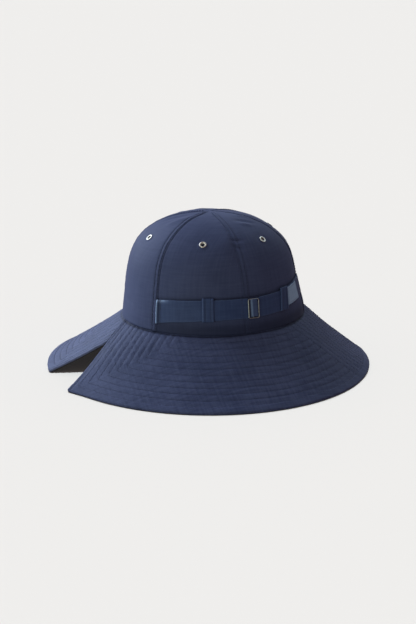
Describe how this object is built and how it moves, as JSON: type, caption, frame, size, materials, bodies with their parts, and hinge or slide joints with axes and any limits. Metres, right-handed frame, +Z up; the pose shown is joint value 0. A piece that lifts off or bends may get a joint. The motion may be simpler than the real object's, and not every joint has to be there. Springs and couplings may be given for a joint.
{
  "type": "sun hat",
  "caption": "Soft panelled sun hat with a wide stitched brim slit at both sides, a front strap with a slide buckle and keeper loops, and vent eyelets.",
  "frame": {"origin": "on the surface that the hat rests on, under the middle of its box", "axes": "-Y towards the front of the hat, +Z up, +X towards the wearer's left"},
  "size_m": [0.3382, 0.3414, 0.1639],
  "materials": {
    "shell_cloth": "navy coated twill, soft sheen",
    "facing_cloth": "charcoal plain weave, matt",
    "ribbon": "navy woven ribbon, slightly glossy",
    "patch_cloth": "slate blue woven label, bare",
    "nickel": "bright nickel plate"
  },
  "bodies": {
    "root": {"crown_panel_front_left": "shell_cloth", "crown_panel_front_right": "shell_cloth", "crown_panel_side_right": "shell_cloth", "crown_panel_back_right": "shell_cloth", "crown_panel_back_left": "shell_cloth", "crown_panel_side_left": "shell_cloth", "brim_front": "shell_cloth", "brim_flap": "shell_cloth", "brim_front_facing": "facing_cloth", "brim_flap_facing": "facing_cloth", "strap": "ribbon", "keeper_left": "ribbon", "keeper_right": "ribbon", "label_patch": "patch_cloth", "buckle": "nickel", "eyelet_front_left": "nickel", "eyelet_front_right": "nickel", "eyelet_side_right": "nickel", "eyelet_back_right": "nickel", "eyelet_back_left": "nickel", "eyelet_side_left": "nickel"}
  },
  "joints": []
}
